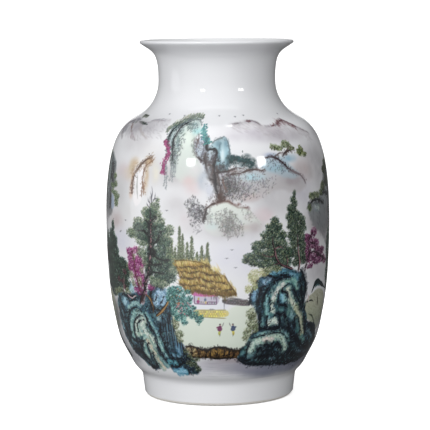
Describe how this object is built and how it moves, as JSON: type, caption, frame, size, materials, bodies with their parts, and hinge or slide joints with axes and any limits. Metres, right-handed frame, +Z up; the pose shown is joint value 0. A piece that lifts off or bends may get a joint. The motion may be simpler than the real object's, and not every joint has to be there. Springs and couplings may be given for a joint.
{
  "type": "porcelain vase",
  "caption": "Tall round white porcelain vase with a wide body, short narrow neck, rolled flared lip and painted mountain landscape; holds stems or stands as an ornament.",
  "frame": {"origin": "centre of the foot ring, on the plane that the vase stands on", "axes": "+Z up along the axis of revolution; +X and +Y are level, and the side with the painted hut faces -Y"},
  "size_m": [0.2218, 0.2218, 0.352],
  "materials": {
    "biscuit_porcelain": "fired, unglazed, fine matte",
    "luting_slip": "fired slip, matte",
    "clear_glaze": "glossy white glaze",
    "painted_enamel": "glossy overglaze enamels: mountain landscape in teal, green, ochre, magenta and black on white"
  },
  "bodies": {
    "root": {"foot_section": "biscuit_porcelain", "lower_body": "biscuit_porcelain", "upper_body": "biscuit_porcelain", "neck_section": "biscuit_porcelain", "foot_luting_seam": "luting_slip", "belly_luting_seam": "luting_slip", "neck_luting_seam": "luting_slip", "outer_glaze": "clear_glaze", "inner_glaze": "clear_glaze", "base_glaze": "clear_glaze", "enamel_painting": "painted_enamel"}
  },
  "joints": []
}
